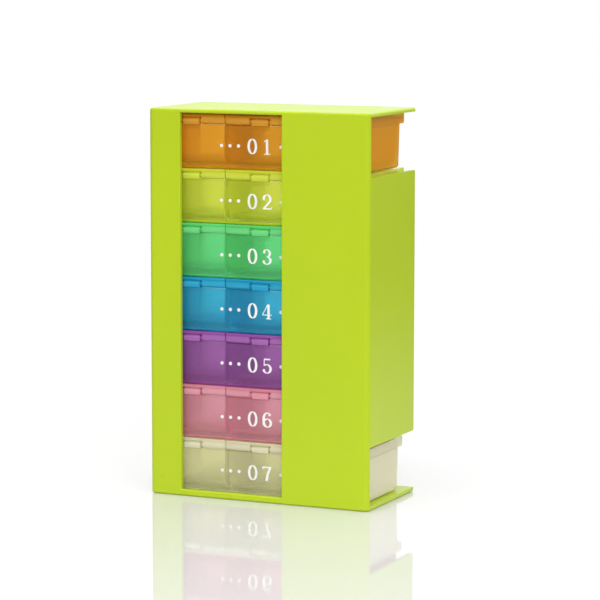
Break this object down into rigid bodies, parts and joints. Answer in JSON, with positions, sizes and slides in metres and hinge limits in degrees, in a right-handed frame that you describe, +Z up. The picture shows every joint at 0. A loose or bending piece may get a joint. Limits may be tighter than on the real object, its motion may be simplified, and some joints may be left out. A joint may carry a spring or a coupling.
{
  "type": "weekly pill organizer",
  "caption": "Tower holder with a front window, side notches and an open back, which carries a stack of translucent pill trays with flip lids over their compartments.",
  "frame": {"origin": "bottom centre of the holder, in the plane that it stands on", "axes": "+X to the right along the width, +Y from the front window to the open back, +Z up"},
  "size_m": [0.108, 0.053, 0.176],
  "materials": {
    "lime_shell": "opaque satin-gloss moulded plastic",
    "orange_plastic": "translucent orange moulded plastic",
    "lime_plastic": "translucent yellow-green moulded plastic",
    "green_plastic": "translucent green moulded plastic",
    "blue_plastic": "translucent blue moulded plastic",
    "purple_plastic": "translucent purple moulded plastic",
    "pink_plastic": "translucent pink moulded plastic",
    "clear_plastic": "translucent colourless, frosted moulded plastic"
  },
  "bodies": {
    "holder": {"holder": "lime_shell"},
    "tray_orange": {"tray_orange": "orange_plastic", "lid_orange_left": "orange_plastic", "lid_orange_middle": "orange_plastic", "lid_orange_right": "orange_plastic"},
    "tray_lime": {"tray_lime": "lime_plastic", "lid_lime_left": "lime_plastic", "lid_lime_middle": "lime_plastic", "lid_lime_right": "lime_plastic"},
    "tray_green": {"tray_green": "green_plastic", "lid_green_left": "green_plastic", "lid_green_middle": "green_plastic", "lid_green_right": "green_plastic"},
    "tray_blue": {"tray_blue": "blue_plastic", "lid_blue_left": "blue_plastic", "lid_blue_middle": "blue_plastic", "lid_blue_right": "blue_plastic"},
    "tray_purple": {"tray_purple": "purple_plastic", "lid_purple_left": "purple_plastic", "lid_purple_middle": "purple_plastic", "lid_purple_right": "purple_plastic"},
    "tray_pink": {"tray_pink": "pink_plastic", "lid_pink_left": "pink_plastic", "lid_pink_middle": "pink_plastic", "lid_pink_right": "pink_plastic"},
    "tray_clear": {"tray_clear": "clear_plastic", "lid_clear_left": "clear_plastic", "lid_clear_middle": "clear_plastic", "lid_clear_right": "clear_plastic"}
  },
  "joints": [
    {"name": "orange_tray_slide", "type": "slide", "parent": "holder", "child": "tray_orange", "axis": [0, 1, 0], "range_m": [0, 0.06]},
    {"name": "lime_tray_slide", "type": "slide", "parent": "holder", "child": "tray_lime", "axis": [0, 1, 0], "range_m": [0, 0.06]},
    {"name": "green_tray_slide", "type": "slide", "parent": "holder", "child": "tray_green", "axis": [0, 1, 0], "range_m": [0, 0.06]},
    {"name": "blue_tray_slide", "type": "slide", "parent": "holder", "child": "tray_blue", "axis": [0, 1, 0], "range_m": [0, 0.06]},
    {"name": "purple_tray_slide", "type": "slide", "parent": "holder", "child": "tray_purple", "axis": [0, 1, 0], "range_m": [0, 0.06]},
    {"name": "pink_tray_slide", "type": "slide", "parent": "holder", "child": "tray_pink", "axis": [0, 1, 0], "range_m": [0, 0.06]},
    {"name": "clear_tray_slide", "type": "slide", "parent": "holder", "child": "tray_clear", "axis": [0, 1, 0], "range_m": [0, 0.06]}
  ]
}
